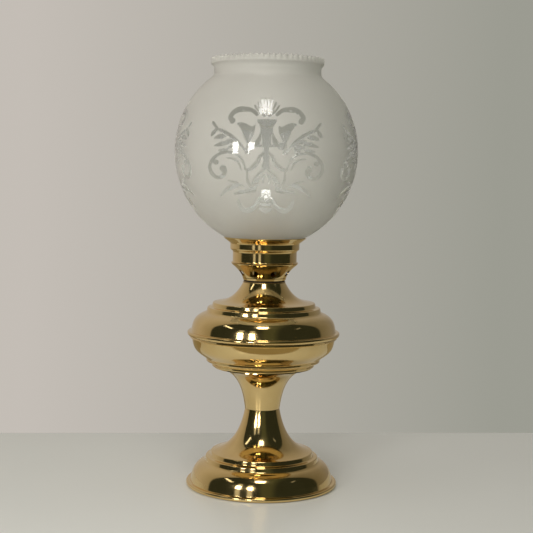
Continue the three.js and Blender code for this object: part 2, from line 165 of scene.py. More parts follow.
def foot_outline(detail):
    path = Outline(71.6, 0.7, detail)
    path.line(72.8, GAP)
    path.bend((FOOT["lip"], GAP), (FOOT["lip"], 2.2))
    path.bend((FOOT["lip"], 4.2), (72.8, 4.2))
    path.bend((71.0, 4.2), (70.8, 4.6))
    path.line(FOOT["wall"], FOOT["wall_base"])
    path.shoulder((68.3, 15.5), (65.6, 20.2), FOOT["shoulder_top"])
    path.sweep((31, 37.2), (21.6, 52), (WAIST["radius"], WAIST["z"]))
    return path.points


def upper_stem_outline(detail):
    path = Outline(WAIST["radius"], WAIST["z"] + GAP, detail)
    path.sweep((19.3, 91.5), (23.1, 114.8), (48.4, 117.4))
    return path.points


def lower_bowl_outline(detail):
    path = Outline(0, FONT["underside"], detail)
    path.line(49.7, FONT["underside"])
    path.step_outwards(50.7, FONT["underside"])
    path.line(53.1, 122.6)
    path.line(55.1, 123.4)
    path.step_outwards(STEPS[0], 123.6)
    path.line(58.3, 128)
    path.sweep((67.2, 134), (68.9, 135.4), (70.8, 146))
    path.line(72.8, 147.1)
    path.line(72.8, 148.8)
    return path.points


def upper_shell_outline(detail):
    path = Outline(70.4, FONT["seam"], detail)
    path.line(72.8, FONT["seam"])
    path.bend((FONT["bead"], 149.3), (FONT["bead"], 151.4))
    path.bend((FONT["bead"], 153.3), (73.2, 153.3))
    path.bend((71.9, 153.3), (71.7, 153.7))
    path.line(FONT["wall"], FONT["wall_base"])
    path.shoulder((69.8, 162.6), (68.4, 167.8), FONT["shoulder_top"])
    path.sweep((40.7, 183.3), (30.2, 183.4), (NECK["radius"], NECK["top"]))
    return path.points


def vent_cone_outline(detail):
    path = Outline(21.7, CONE["bottom"], detail)
    path.bend((23.6, 212.4), (30.8, 218.2))
    path.bend((32.2, 219.2), (CONE["ridge_radius"], 220.4))
    path.line(CONE["ridge_radius"], 220.8)
    return path.points


def gallery_outline(detail):
    path = Outline(CONE["ridge_radius"], CONE["ridge"], detail)
    path.line(CONE["ridge_radius"], 221.5)
    path.bend((GALLERY["waist"], 221.9), (GALLERY["waist"], 222.8))
    path.line(GALLERY["waist"], 231.2)
    path.bend((GALLERY["waist"], 232.8), (33.2, 233.6))
    path.bend((GALLERY["band"], 234.2), (GALLERY["band"], 235.2))
    path.line(GALLERY["band"], 239.8)
    path.bend((34.3, 240.7), (35.6, 241.4))
    path.line(39.9, 244.7)
    path.line(GALLERY["rim_radius"], GALLERY["rim"])
    return path.points


def inner_wall(outer, wall):
    """The outline moved inwards by a wall's thickness, with mitred corners."""
    moved = []
    for i, point in enumerate(outer):
        here = Vector(point)
        into = here - Vector(outer[i - 1]) if i > 0 else Vector(outer[1]) - here
        out = Vector(outer[i + 1]) - here if i < len(outer) - 1 else into
        normal = Vector((-into.normalized().y - out.normalized().y, into.normalized().x + out.normalized().x))
        moved.append(tuple(here + normal * (2 * wall / max(normal.length_squared, 1))))
    return moved


def sheet_loop(outline, wall, detail=6):
    """A finely divided outside and a plainer inside, as one closed loop."""
    return outline(detail) + inner_wall(outline(1), wall)[::-1]


# Meshes
def new_piece(name, mesh, body, node, material, smooth_angle=32):
    piece = bpy.data.objects.new(name, mesh)
    bpy.context.scene.collection.objects.link(piece)
    mesh.materials.clear()
    mesh.materials.append(material)
    mesh.shade_smooth()
    mesh.set_sharp_from_angle(angle=math.radians(smooth_angle))
    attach(piece, body)
    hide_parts(node)
    return piece


def mesh_from(name, vertices, faces):
    mesh = bpy.data.meshes.new(name)
    mesh.from_pydata([Vector(v) * MM for v in vertices], [], faces)
    tidy = bmesh.new()
    tidy.from_mesh(mesh)
    bmesh.ops.recalc_face_normals(tidy, faces=tidy.faces)
    tidy.to_mesh(mesh)
    tidy.free()
    return mesh


def turned(name, loop, columns=COLUMNS, radius_at=None):
    """Revolves a loop of (radius, height) points about Z. A point on the axis becomes a pole."""
    vertices = []
    rows = []
    for radius, height in loop:
        if radius < 1e-6:
            rows.append([len(vertices)] * columns)
            vertices.append((0, 0, height))
            continue
        rows.append(range(len(vertices), len(vertices) + columns))
        for column in range(columns):
            angle = 2 * math.pi * column / columns
            r = radius_at(radius, angle) if radius_at else radius
            vertices.append((r * math.cos(angle), r * math.sin(angle), height))
    on_axis = loop[0][0] < 1e-6 and loop[-1][0] < 1e-6
    pairs = [(i, i + 1) for i in range(len(rows) - 1)] + ([] if on_axis else [(len(rows) - 1, 0)])
    faces = []
    for low, high in pairs:
        for column in range(columns):
            beside = (column + 1) % columns
            corners = (rows[low][column], rows[low][beside], rows[high][beside], rows[high][column])
            faces.append(tuple(dict.fromkeys(corners)))
    return mesh_from(name, vertices, faces)


def turned_along_shaft(name, loop, columns, radius_at=None):
    """Revolves a loop of (radius, y) points about the wick shaft."""
    mesh = turned(name, loop, columns, radius_at)
    place = Matrix.Translation((SHAFT["x"] * MM, 0, SHAFT["z"] * MM))
    mesh.transform(place @ Matrix.Rotation(-math.pi / 2, 4, "X"))
    return mesh


def ring_loop(inner, outer, bottom, top, edge=0.3):
    """A ring's section with its outer corners rounded off."""
    return [
        (inner, bottom), (outer - edge, bottom), (outer - 0.3 * edge, bottom + 0.3 * edge),
        (outer, bottom + edge), (outer, top - edge), (outer - 0.3 * edge, top - 0.3 * edge),
        (outer - edge, top), (inner, top),
    ]


def rounded_oblong(width, depth, corner, steps=5):
    """The corners of an oblong with rounded corners, width along Y and depth along X."""
    points = []
    for quarter, (side_x, side_y) in enumerate(((1, 1), (-1, 1), (-1, -1), (1, -1))):
        for i in range(steps + 1):
            angle = (quarter + i / steps) * math.pi / 2
            x = side_x * (depth / 2 - corner) + corner * math.cos(angle)
            y = side_y * (width / 2 - corner) + corner * math.sin(angle)
            points.append((x, y))
    return points


def lofted(name, sections, ring=False):
    """Joins sections, each a list of (x, y, z) points, end to end. A ring's last section joins its first."""
    count = len(sections[0])
    vertices = [point for section in sections for point in section]
    faces = []
    last = len(sections) if ring else len(sections) - 1
    for row in range(last):
        low, high = row * count, (row + 1) % len(sections) * count
        for i in range(count):
            j = (i + 1) % count
            faces.append((low + i, low + j, high + j, high + i))
    if not ring:
        faces.append(tuple(range(count)))
        faces.append(tuple(range(len(vertices) - count, len(vertices))))
    return mesh_from(name, vertices, faces)


def cut_away(mesh, cutters):
    """Cuts closed meshes out of a mesh, and removes the cutters."""
    target = bpy.data.objects.new("cutting", mesh)
    bpy.context.scene.collection.objects.link(target)
    tools = []
    for cutter in cutters:
        tool = bpy.data.objects.new("cutter", cutter)
        bpy.context.scene.collection.objects.link(tool)
        modifier = target.modifiers.new("cut", "BOOLEAN")
        modifier.operation = "DIFFERENCE"
        modifier.solver = "EXACT"
        modifier.object = tool
        tools.append(tool)
    bpy.context.view_layer.update()
    result = bpy.data.meshes.new_from_object(target.evaluated_get(bpy.context.evaluated_depsgraph_get()))
    for piece in [target, *tools]:
        bpy.data.objects.remove(piece)
    return result


def block(low, high):
    """A box between its lowest and highest corners."""
    corners = [(low[0], low[1]), (high[0], low[1]), (high[0], high[1]), (low[0], high[1])]
    return lofted("block", [[(x, y, z) for x, y in corners] for z in (low[2], high[2])])


# Shader nodes
class NodeTree:
    """Short ways to add nodes to a tree and to join them."""

    def __init__(self, tree):
        self.tree = tree

    def add(self, kind, **settings):
        node = self.tree.nodes.new(kind)
        for key, value in settings.items():
            setattr(node, key, value)
        return node

    def link(self, source, target):
        self.tree.links.new(source, target)

    def feed(self, socket, value):
        """Gives a socket a number, a colour or another node's output."""
        if isinstance(value, tuple):
            socket.default_value = (*value, 1)
        elif isinstance(value, (int, float)):
            socket.default_value = value
        else:
            self.link(value, socket)

    def mix(self, factor, first, second, blend="MIX"):
        """Mixes two colours by a factor from 0, all of the first, to 1, all of the second."""
        node = self.add("ShaderNodeMix", data_type="RGBA", blend_type=blend)
        self.feed(node.inputs["Factor"], factor)
        for socket, value in zip([s for s in node.inputs if s.type == "RGBA"], (first, second)):
            self.feed(socket, value)
        return [s for s in node.outputs if s.type == "RGBA"][0]


# Materials
class Look(NodeTree):
    """A material with one Principled shader, and the textures that the materials below share."""

    def __init__(self, name):
        self.material = bpy.data.materials.new(name)
        self.material.use_nodes = True
        super().__init__(self.material.node_tree)
        self.shader = self.tree.nodes["Principled BSDF"]

    def set(self, **values):
        for key, value in values.items():
            self.shader.inputs[key.replace("_", " ").title().replace("Ior", "IOR")].default_value = value

    def position(self, scale=(1, 1, 1)):
        coordinates = self.add("ShaderNodeTexCoord")
        mapping = self.add("ShaderNodeMapping")
        mapping.inputs["Scale"].default_value = scale
        self.link(coordinates.outputs["Object"], mapping.inputs["Vector"])
        return mapping.outputs["Vector"]

    def noise(self, vector, scale, detail=4, roughness=0.5):
        node = self.add("ShaderNodeTexNoise")
        node.inputs["Scale"].default_value = scale
        node.inputs["Detail"].default_value = detail
        node.inputs["Roughness"].default_value = roughness
        self.link(vector, node.inputs["Vector"])
        return node.outputs["Fac"]

    def ranged(self, value, low, high, to_low, to_high):
        node = self.add("ShaderNodeMapRange")
        for key, number in zip(("From Min", "From Max", "To Min", "To Max"), (low, high, to_low, to_high)):
            node.inputs[key].default_value = number
        self.link(value, node.inputs["Value"])
        return node.outputs["Result"]

    def math(self, operation, a, b):
        node = self.add("ShaderNodeMath", operation=operation)
        for socket, value in zip(node.inputs, (a, b)):
            self.feed(socket, value)
        return node.outputs["Value"]

    def blend(self, factor, first, second):
        """Like mix, for plain values."""
        node = self.add("ShaderNodeMix", data_type="FLOAT")
        for socket, value in zip([s for s in node.inputs if s.type == "VALUE"], (factor, first, second)):
            self.feed(socket, value)
        return node.outputs["Result"]

    def bump(self, height, strength, distance, normal=None):
        node = self.add("ShaderNodeBump")
        node.inputs["Strength"].default_value = strength
        node.inputs["Distance"].default_value = distance
        self.link(height, node.inputs["Height"])
        if normal is not None:
            self.link(normal, node.inputs["Normal"])
        return node.outputs["Normal"]

    def round_position(self):
        """(distance from the axis, height) as a vector, so that a texture makes rings."""
        coordinates = self.add("ShaderNodeTexCoord")
        parts = self.add("ShaderNodeSeparateXYZ")
        self.link(coordinates.outputs["Object"], parts.inputs["Vector"])
        x, y = parts.outputs["X"], parts.outputs["Y"]
        squares = self.math("ADD", self.math("MULTIPLY", x, x), self.math("MULTIPLY", y, y))
        radius = self.math("SQRT", squares, 0)
        vector = self.add("ShaderNodeCombineXYZ")
        self.link(radius, vector.inputs["X"])
        self.link(parts.outputs["Z"], vector.inputs["Z"])
        return vector.outputs["Vector"]


def brass(name, bright, dark, gloss, smudge, ring_strength, waves):
    """Spun brass: rings from spinning, broad waves in the sheet, smudges and slight tarnish."""
    look = Look(name)
    look.set(metallic=1.0)
    place = look.position()
    cloud = look.noise(place, 26, 5, 0.6)
    smear = look.noise(look.position((1, 1, 0.45)), 70, 6, 0.62)
    tarnish = look.ranged(cloud, 0.42, 0.72, 0, 1)
    look.link(look.mix(tarnish, bright, dark), look.shader.inputs["Base Color"])
    look.link(look.ranged(smear, 0.45, 0.8, gloss, smudge), look.shader.inputs["Roughness"])
    rings = look.noise(look.round_position(), 1500, 3, 0.7)
    broad = look.noise(place, 22, 1, 0.4)
    sheet = look.bump(broad, waves, 0.002)
    look.link(look.bump(rings, ring_strength, 0.0002, sheet), look.shader.inputs["Normal"])
    return look.material


def matt(name, light, dark, metallic, rough_low, rough_high, grain, strength):
    """A matt surface with a fine grain, for the iron weight, steel parts, felt and gasket."""
    look = Look(name)
    look.set(metallic=metallic)
    place = look.position()
    speckle = look.noise(place, grain, 6, 0.65)
    look.link(look.mix(look.ranged(speckle, 0.35, 0.7, 0, 1), dark, light), look.shader.inputs["Base Color"])
    look.link(look.ranged(speckle, 0.3, 0.7, rough_high, rough_low), look.shader.inputs["Roughness"])
    look.link(look.bump(speckle, strength, 0.0004), look.shader.inputs["Normal"])
    return look.material


def wick_cotton():
    """A woven strip with its warp along Z, and a scorched top."""
    look = Look("wick_cotton")
    look.set(metallic=0.0, roughness=0.95)
    coordinates = look.add("ShaderNodeTexCoord")
    parts = look.add("ShaderNodeSeparateXYZ")
    look.link(coordinates.outputs["Object"], parts.inputs["Vector"])
    warp = look.math("SINE", look.math("MULTIPLY", parts.outputs["Y"], 2 * math.pi / 0.0011), 0)
    weft = look.math("SINE", look.math("MULTIPLY", parts.outputs["Z"], 2 * math.pi / 0.0014), 0)
    weave = look.math("MULTIPLY", warp, weft)
    fray = look.noise(look.position((1, 1, 0.3)), 900, 4, 0.6)
    raised = look.ranged(look.math("ADD", weave, fray), -0.6, 1.6, 0, 1)
    cloth = look.mix(raised, (0.50, 0.45, 0.36), (0.78, 0.74, 0.64))
    top = WICK["top"] * MM
    edge = look.math("ADD", parts.outputs["Z"], look.ranged(fray, 0.3, 0.7, -0.0006, 0.0006))
    scorched = look.mix(look.ranged(edge, top - 0.003, top - 0.0006, 0, 1), cloth, (0.035, 0.028, 0.022))
    look.link(scorched, look.shader.inputs["Base Color"])
    look.link(look.bump(weave, 0.7, 0.0004), look.shader.inputs["Normal"])
    return look.material


def etched_glass():
    """Glass frosted outside by acid. pattern_depth is above 0 on the inside and in the clear pattern."""
    look = Look("etched_glass")
    look.set(ior=1.5, metallic=0.0)
    depth = look.add("ShaderNodeAttribute", attribute_name="pattern_depth").outputs["Fac"]
    clear = look.ranged(depth, -0.25, 0.25, 0, 1)
    cloud = look.noise(look.position(), 35, 4, 0.55)
    grain = look.noise(look.position(), 2600, 3, 0.6)
    frost_rough = look.ranged(cloud, 0.3, 0.7, 0.62, 0.72)
    look.link(look.blend(clear, frost_rough, 0.03), look.shader.inputs["Roughness"])
    look.link(look.blend(clear, 0.66, 1.0), look.shader.inputs["Transmission Weight"])
    look.link(look.mix(clear, (0.93, 0.92, 0.87), (0.99, 0.995, 0.98)), look.shader.inputs["Base Color"])
    frost = look.math("MULTIPLY", look.math("SUBTRACT", 1.0, clear), grain)
    look.link(look.bump(frost, 0.18, 0.00008), look.shader.inputs["Normal"])
    return look.material


POLISHED = brass("polished_brass", (0.83, 0.62, 0.29), (0.76, 0.54, 0.23), 0.09, 0.16, 0.05, 0.07)
DULL = brass("dull_brass", (0.60, 0.44, 0.20), (0.40, 0.28, 0.12), 0.30, 0.48, 0.12, 0.05)
GLASS = etched_glass()
STEEL = matt("zinc_plated_steel", (0.52, 0.53, 0.54), (0.36, 0.36, 0.36), 1.0, 0.28, 0.42, 240, 0.08)
IRON = matt("cast_iron", (0.060, 0.060, 0.062), (0.030, 0.030, 0.031), 0.6, 0.6, 0.8, 420, 0.6)
FELT = matt("green_felt", (0.045, 0.085, 0.058), (0.018, 0.040, 0.028), 0.0, 0.93, 1.0, 1500, 0.9)
CORK = matt("gasket_fibre", (0.055, 0.038, 0.026), (0.020, 0.014, 0.010), 0.0, 0.8, 0.95, 900, 0.5)
COTTON = wick_cotton()


# Foot, stem and font
def build_stand():
    shells = [
        ("foot_brass", "foot_shell", sheet_loop(foot_outline, SHEET)),
        ("stem_brass", "upper_stem", sheet_loop(upper_stem_outline, SHEET)),
        ("font_bowl_brass", "font_lower_bowl", sheet_loop(lower_bowl_outline, SHEET)),
        ("font_top_brass", "font_upper_shell", sheet_loop(upper_shell_outline, SHEET)),
    ]
    for name, node, loop in shells:
        new_piece(name, turned(name, loop), "stand", node, POLISHED)

    felt = turned("felt_pad", ring_loop(PAD["hole"], PAD["radius"], 0, PAD["thickness"], 0.5), 128)
    new_piece("felt_pad", felt, "stand", "base_felt", FELT)


def threaded_wall(name, plain_loop, thread_radius, bottom, top,
                  depth=0.5, pitch=1.4, inside=False, columns=96):
    """A turned piece whose wall at thread_radius carries a helical thread between two heights."""
    rows = 8 * round((top - bottom) / pitch)
    outward = -1 if inside else 1
    thread = [(thread_radius, bottom + (top - bottom) * i / rows) for i in range(rows + 1)]
    loop = plain_loop(thread)
    mesh = turned(name, loop, columns)
    low, high = (bottom + 0.4) * MM, (top - 0.4) * MM
    for vertex in mesh.vertices:
        x, y, z = vertex.co
        radius = math.hypot(x, y)
        if abs(radius - thread_radius * MM) > 1e-6 or not low < z < high:
            continue
        turn = z / (pitch * MM) - math.atan2(y, x) / (2 * math.pi)
        groove = 0.5 - 0.5 * math.cos(2 * math.pi * turn)
        scale = (radius - outward * groove * depth * MM) / radius
        vertex.co.x, vertex.co.y = x * scale, y * scale
    return mesh


def build_collar():
    def loop(thread):
        flange = COLLAR["top"] - 0.7
        return [
            *thread[::-1], (16.4, COLLAR["bottom"]), (COLLAR["radius"], COLLAR["bottom"]),
            (COLLAR["radius"], flange), (NECK["radius"], flange), (NECK["radius"], COLLAR["top"] - 0.2),
            (NECK["radius"] - 0.2, COLLAR["top"]), (16.6, COLLAR["top"]),
        ]

    mesh = threaded_wall("collar", loop, COLLAR["bore"], 192.4, 202.2, inside=True)
    new_piece("font_collar_brass", mesh, "stand", "font_collar", DULL)
    ring = ring_loop(GASKET["hole"], GASKET["radius"], GASKET["bottom"], GASKET["top"], 0.2)
    gasket = turned("gasket", ring, 128)
    new_piece("collar_gasket_fibre", gasket, "gasket", "collar_gasket", CORK)


def build_hidden_hardware():
    weight = turned("weight", [
        (16, 2.2), (53.4, 2.2), (54, 2.8), (54, 11.6), (53.2, 12.6), (49.4, 15.6), (48.4, 16), (31, 16),
        (30, 16.6), (26.6, 40), (25.6, 41), (5.7, 41), (5.1, 40.4), (5.1, 8.8), (15.4, 8.8), (16, 8.2),
    ], 96)
    new_piece("weight_iron", weight, "stand", "foot_weight", IRON)
    washer = turned("washer", ring_loop(ROD["hole"], WASHER["radius"], WASHER["bottom"], WASHER["top"]), 64)
    new_piece("washer_steel", washer, "stand", "rod_washer", STEEL)
    ring = ring_loop(ROD["hole"], SLEEVE["radius"], SLEEVE["bottom"], SLEEVE["top"], 0.6)
    sleeve = turned("sleeve", ring, 96)
    new_piece("sleeve_brass", sleeve, "stand", "stem_sleeve", DULL)
    boss = turned("boss", [
        (0, 115.9), (5.1, 115.9), (5.1, 104.6), (5.6, 104), (10.4, 104), (11, 104.6), (11, 115.4),
        (11.6, 116), (17.6, 116), (18, 116.4), (18, 118.1), (17.7, 118.4), (0, 118.4),
    ], 64)
    new_piece("boss_brass", boss, "stand", "font_boss", DULL)

    def rod_loop(thread):
        bottom, top, end = ROD["bottom"], ROD["top"], ROD["radius"] - 0.6
        return [(0, bottom), (end, bottom), *thread, (end, top), (0, top)]

    thread_bottom, thread_top = ROD["bottom"] + 0.6, ROD["top"] - 0.6
    rod = threaded_wall("rod", rod_loop, ROD["radius"], thread_bottom, thread_top, 0.45, 1.5, columns=32)
    new_piece("rod_steel", rod, "stand", "tie_rod", STEEL)

    def hexagonal(radius, angle):
        if radius < ROD["hole"] + 1:
            return radius
        from_flat = (angle + math.pi / 6) % (math.pi / 3) - math.pi / 6
        return min(radius, NUT["across_flats"] / 2 / math.cos(from_flat))

    loop = ring_loop(ROD["hole"], NUT["across_corners"] / 2, NUT["bottom"], NUT["top"], 0.5)
    nut = turned("nut", loop, 96, hexagonal)
    new_piece("nut_steel", nut, "stand", "rod_nut", STEEL)


# Burner
def drill(radius, length, columns=32):
    """A plain cylinder along Z, centred on the origin."""
    half = length / 2
    return turned("drill", [(0, -half), (radius, -half), (radius, half), (0, half)], columns)


def tube_hole(height):
    """A cutter for the hole that the wick tube stands in, through a plate at some height."""
    half_depth, half_width = TUBE_HOLE["half_depth"], TUBE_HOLE["half_width"]
    return block((-half_depth, -half_width, height - 2), (half_depth, half_width, height + 2))


def vent_frame(i):
    """Where vent i is, and which way it points, as a matrix in metres."""
    around = Matrix.Rotation((i + 0.5) * 2 * math.pi / VENTS["count"], 4, "Z")
    out = Matrix.Translation((VENTS["distance"] * MM, 0, VENTS["z"] * MM))
    tilt = Matrix.Rotation(math.pi / 2 + VENTS["tilt"], 4, "Y")
    return around @ out @ tilt


def build_burner_base():
    def base_loop(thread):
        return [
            (0, CUP["top"] - 0.9), (SPIGOT["bore"], CUP["top"] - 0.9), (SPIGOT["bore"], SPIGOT["bottom"]),
            (15.1, SPIGOT["bottom"]), *thread, (SPIGOT["radius"], SPIGOT["top"]), (20.8, 204), (21.1, 204.2),
            (21.6, 206.1), (21.4, 206.3), (20.6, 206.3), (20.1, 205), (CUP["radius"], 205),
            (CUP["radius"], CUP["top"] - 0.3), (CUP["radius"] - 0.3, CUP["top"]), (0, CUP["top"]),
        ]

    base = threaded_wall("base", base_loop, SPIGOT["radius"], 195.3, 203.6)
    base = cut_away(base, [tube_hole(CUP["top"])])
    new_piece("burner_base_brass", base, "burner", "burner_base", POLISHED)


def build_cone_and_gallery():
    cone = turned("cone", sheet_loop(vent_cone_outline, GALLERY["sheet"], 8))
    cutters = []
    for i in range(VENTS["count"]):
        cutter = drill(VENTS["radius"], 9)
        cutter.transform(vent_frame(i))
        cutters.append(cutter)
    bush_hole = turned_along_shaft("bush_hole", [(0, 19), (2.5, 19), (2.5, 39), (0, 39)], 32)
    cone = cut_away(cone, [*cutters, bush_hole])
    new_piece("vent_cone_brass", cone, "burner", "vent_cone", POLISHED)

    cup = turned("gallery", sheet_loop(gallery_outline, GALLERY["sheet"]))
    new_piece("gallery_brass", cup, "burner", "gallery", POLISHED)


def build_air_screen():
    radius, bottom, top, edge = SCREEN["radius"], SCREEN["bottom"], SCREEN["top"], 0.2
    plate = turned("screen", [
        (0, bottom), (radius - edge, bottom), (radius, bottom + edge), (radius, top - edge),
        (radius - edge, top), (0, top),
    ], 128)
    holes = [tube_hole(top)]
    for i in range(SCREEN["holes"]):
        angle = (i + 0.5) * 2 * math.pi / SCREEN["holes"]
        hole = drill(SCREEN["hole"], 4)
        across = Vector((math.cos(angle), math.sin(angle), 0)) * SCREEN["distance"]
        hole.transform(Matrix.Translation((across + Vector((0, 0, top))) * MM))
        holes.append(hole)
    new_piece("air_screen_brass", cut_away(plate, holes), "burner", "air_screen", DULL)


def build_wick_tube():
    outer = rounded_oblong(TUBE["width"], TUBE["depth"], 1.6)
    inner = rounded_oblong(TUBE["width"] - 2 * TUBE["wall"], TUBE["depth"] - 2 * TUBE["wall"], 0.9)
    heights = ((outer, TUBE["bottom"]), (outer, TUBE["top"]), (inner, TUBE["top"]), (inner, TUBE["bottom"]))
    tube = lofted("tube", [[(x, y, z) for x, y in outline] for outline, z in heights], ring=True)
    slots = []
    for side in (-1, 1):
        middle = side * WHEEL["offset"]
        low = (1.2, middle - 1.1, SHAFT["z"] - WHEEL["radius"] - 0.3)
        high = (4.2, middle + 1.1, SHAFT["z"] + WHEEL["radius"] + 0.3)
        slots.append(block(low, high))
    new_piece("wick_tube_brass", cut_away(tube, slots), "burner", "wick_tube", DULL)


def build_shaft_bush():
    loop = ring_loop(BUSH["bore"], BUSH["radius"], BUSH["front"], BUSH["rear"], 0.2)
    bush = turned_along_shaft("bush", loop, 48)
    new_piece("shaft_bush_brass", bush, "burner", "shaft_bush", DULL)


def spreader_outline(radius, top, skirt_top):
    bulge = skirt_top + 0.55 * (top - skirt_top)
    path = Outline(radius, skirt_top, 2)
    path.sweep((radius, bulge), (13, top), (4, top))
    return path.points


def build_spreader():
    wall = SPREADER["wall"]
    outside = spreader_outline(SPREADER["radius"], SPREADER["top"], SPREADER["skirt_top"])
    inside = spreader_outline(SPREADER["radius"] - wall, SPREADER["top"] - wall, SPREADER["skirt_top"] - 0.3)
    loop = [(0, SPREADER["top"] - wall), *inside[::-1], (SPREADER["radius"] - wall, SPREADER["bottom"])]
    loop += [(SPREADER["radius"], SPREADER["bottom"]), *outside, (0, SPREADER["top"])]
    slot = block((-3.8, -14.5, SPREADER["skirt_top"]), (3.8, 14.5, SPREADER["top"] + 1))
    dome = cut_away(turned("spreader", loop, 128), [slot])
    new_piece("flame_spreader_brass", dome, "spreader", "flame_spreader", DULL)


def build_winder():
    shaft = turned_along_shaft("shaft", [
        (0, SHAFT["front"]), (0.8, SHAFT["front"]), (SHAFT["radius"], SHAFT["front"] + 0.3),
        (SHAFT["radius"], SHAFT["rear"] - 0.3), (0.8, SHAFT["rear"]), (0, SHAFT["rear"]),
    ], 32)
    new_piece("wick_shaft_steel", shaft, "winder", "wick_shaft", STEEL)

    def toothed(radius, angle):
        if radius < 2:
            return radius
        wave = 0.5 + 0.5 * math.cos(WHEEL["teeth"] * angle)
        return WHEEL["root"] + (radius - WHEEL["root"]) * wave ** 0.6

    for side, node in ((-1, "wick_wheel_front"), (1, "wick_wheel_rear")):
        middle = side * WHEEL["offset"]
        half = WHEEL["thickness"] / 2
        loop = ring_loop(BUSH["bore"], WHEEL["radius"], middle - half, middle + half, 0.15)
        wheel = turned_along_shaft(node + "_mesh", loop, 80, toothed)
        new_piece(node + "_brass", wheel, "winder", node, DULL)

    def knurled(radius, angle):
        if radius < 6.2:
            return radius
        return radius - 0.22 + 0.22 * math.cos(KNOB["ridges"] * angle)

    knob = turned_along_shaft("knob", [
        (1.4, KNOB["front"]), (3.2, KNOB["front"]), (4.6, 42.2), (5.6, 42.2), (6.1, 42.4), (6.7, 42.7),
        (KNOB["radius"], 43.0), (KNOB["radius"], 45.0), (6.7, 45.4), (6.1, 45.7), (5.6, 45.8), (4.4, 45.4),
        (2.6, 45.2), (1.8, 45.6), (1.4, 45.6),
    ], 320, knurled)
    new_piece("wick_knob_brass", knob, "winder", "wick_knob", POLISHED)


def build_wick():
    outline = rounded_oblong(WICK["width"], WICK["depth"], 0.9)
    rows = 24
    sections = []
    for i in range(rows + 1):
        height = WICK["bottom"] + (WICK["top"] - WICK["bottom"]) * i / rows
        sections.append([(x, y, height) for x, y in outline])
    new_piece("wick_cotton_strip", lofted("wick", sections), "wick", "wick", COTTON)


# Globe
def smooth_curve(points, steps=8):
    """A Catmull-Rom curve through given points."""
    ends = [points[0], *points, points[-1]]
    curve = []
    for a, b, c, d in zip(ends, ends[1:], ends[2:], ends[3:]):
        for i in range(steps):
            t = i / steps
            curve.append(tuple(
                0.5 * (2 * b[k] + (c[k] - a[k]) * t + (2 * a[k] - 5 * b[k] + 4 * c[k] - d[k]) * t * t
                       + (3 * b[k] - a[k] - 3 * c[k] + d[k]) * t ** 3)
                for k in (0, 1)))
    curve.append(points[-1])
    return np.array(curve)


# The pattern, drawn in millimetres as the front sees it: x from the middle, z from the ball's centre.
# Only the right half is drawn; the left half mirrors it. A stroke has its points, then its half widths
# at its start, middle and end. A patch is a filled outline. A line is frost left inside a clear shape.
PATCHES = [
    [(0, 27.2), (9.2, 27.2), (8.6, 25), (6.4, 21.5), (5.5, 18), (7, 13), (10.5, 7), (14.4, 2.2), (0, 1.6)],
    [(9.8, 24.4), (11.4, 21.4), (13.3, 20.2), (15.4, 21.2), (18.4, 23), (22.8, 24.4), (28.6, 23.2),
     (25.4, 20.8), (22.6, 16.8), (20.6, 10.6), (17.4, 4.6), (14.4, 7.4), (11.2, 14.4)],
    [(10.4, 6.4), (18.2, 6.2), (18.6, 0.4), (14.8, -0.6), (10.8, 0.2)],
    [(23.8, 6.8), (30.6, 5.6), (31.4, 0.8), (28.2, -2.6), (24.6, 0.4)],
    [(3.6, -3.4), (6.8, -4.6), (9.2, -10.3), (14, -15.2), (20, -19.4), (14.4, -20), (8.8, -16.6), (5.4, -11)],
    [(0, -36), (4.5, -36.6), (4.2, -44), (4.9, -51), (0, -52)],
    [(0, -53.4), (7, -53.2), (4.2, -56.6), (0, -58.6)],
    [(8.6, -32.4), (12.8, -35.4), (18.4, -36.6), (25, -37.4), (31, -41.6), (24, -41.2), (15, -39.8),
     (9, -39.2)],
]
